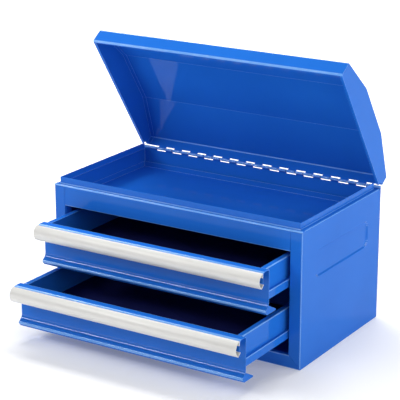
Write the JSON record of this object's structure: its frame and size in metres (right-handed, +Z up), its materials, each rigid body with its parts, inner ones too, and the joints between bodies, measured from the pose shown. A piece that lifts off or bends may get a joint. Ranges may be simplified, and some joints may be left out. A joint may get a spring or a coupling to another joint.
{
  "type": "portable tool box with drawers",
  "caption": "Steel portable tool box with a hinged lid over an open top tray and sliding drawers below, each drawer with a full-width aluminium pull.",
  "frame": {"origin": "centre of the flat base, at the height of the surface the box stands on", "axes": "+X to the right seen from the front, -Y out of the front where the drawers open, +Z up"},
  "size_m": [0.51, 0.4804, 0.502],
  "materials": {
    "blue_paint": "gloss",
    "pull_aluminium": "satin",
    "drawer_liner": "matt",
    "pin_steel": "satin"
  },
  "bodies": {
    "cabinet": {"left_side_panel": "blue_paint", "right_side_panel": "blue_paint", "bottom_panel": "blue_paint", "back_panel": "blue_paint", "front_header": "blue_paint", "tray_floor": "blue_paint", "front_left_post": "blue_paint", "front_right_post": "blue_paint", "rear_left_post": "blue_paint", "rear_right_post": "blue_paint", "lower_left_rail": "blue_paint", "lower_right_rail": "blue_paint", "upper_left_rail": "blue_paint", "upper_right_rail": "blue_paint", "hinge_pin": "pin_steel"},
    "lid": {"lid_shell": "blue_paint", "lid_left_end": "blue_paint", "lid_right_end": "blue_paint"},
    "lower_drawer": {"lower_drawer_front": "blue_paint", "lower_drawer_pull": "pull_aluminium", "lower_drawer_box": "blue_paint", "lower_drawer_back": "blue_paint", "lower_drawer_liner": "drawer_liner", "lower_drawer_left_runner": "blue_paint", "lower_drawer_right_runner": "blue_paint"},
    "upper_drawer": {"upper_drawer_front": "blue_paint", "upper_drawer_pull": "pull_aluminium", "upper_drawer_box": "blue_paint", "upper_drawer_back": "blue_paint", "upper_drawer_liner": "drawer_liner", "upper_drawer_left_runner": "blue_paint", "upper_drawer_right_runner": "blue_paint"}
  },
  "joints": [
    {"name": "lid_hinge", "type": "hinge", "parent": "cabinet", "child": "lid", "pos_m": [0, 0.1424, 0.249], "axis": [-1, 0, 0], "range_deg": [-56, 54]},
    {"name": "lower_drawer_slide", "type": "slide", "parent": "cabinet", "child": "lower_drawer", "axis": [0, -1, 0], "range_m": [-0.1474, 0.0426]},
    {"name": "upper_drawer_slide", "type": "slide", "parent": "cabinet", "child": "upper_drawer", "axis": [0, -1, 0], "range_m": [-0.0754, 0.1146]}
  ]
}
